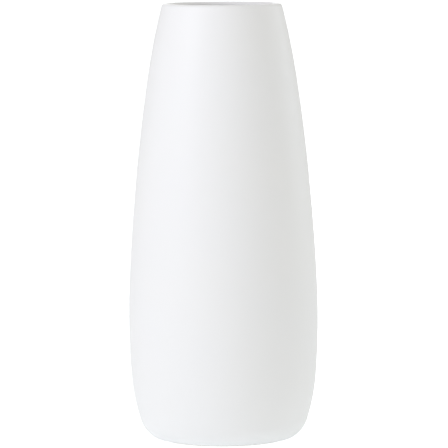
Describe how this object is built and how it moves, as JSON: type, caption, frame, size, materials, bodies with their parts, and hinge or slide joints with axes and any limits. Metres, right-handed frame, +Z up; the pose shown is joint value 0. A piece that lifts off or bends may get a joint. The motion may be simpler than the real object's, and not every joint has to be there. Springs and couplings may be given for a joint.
{
  "type": "bud vase",
  "caption": "Slender matt white ceramic vase for flower stems, widest low down, with a softly rounded base and a plain round open mouth.",
  "frame": {"origin": "on the vase's axis, at the table that its felt pads stand on", "axes": "+Z up along the axis, out of the mouth; the vase is round, and one felt pad lies towards -Y"},
  "size_m": [0.0868, 0.0868, 0.2],
  "materials": {
    "matt_glaze": "matt to satin white glaze",
    "gloss_glaze": "glossy white liner glaze",
    "bisque_clay": "bare fired white stoneware",
    "felt": "pressed wool-grey felt",
    "adhesive_film": "thin pressure-sensitive adhesive film"
  },
  "bodies": {
    "root": {"clay_body": "bisque_clay", "outer_glaze": "matt_glaze", "inner_glaze": "gloss_glaze", "base_glaze": "gloss_glaze", "pad_adhesive_1": "adhesive_film", "pad_adhesive_2": "adhesive_film", "pad_adhesive_3": "adhesive_film", "felt_pad_1": "felt", "felt_pad_2": "felt", "felt_pad_3": "felt"}
  },
  "joints": []
}
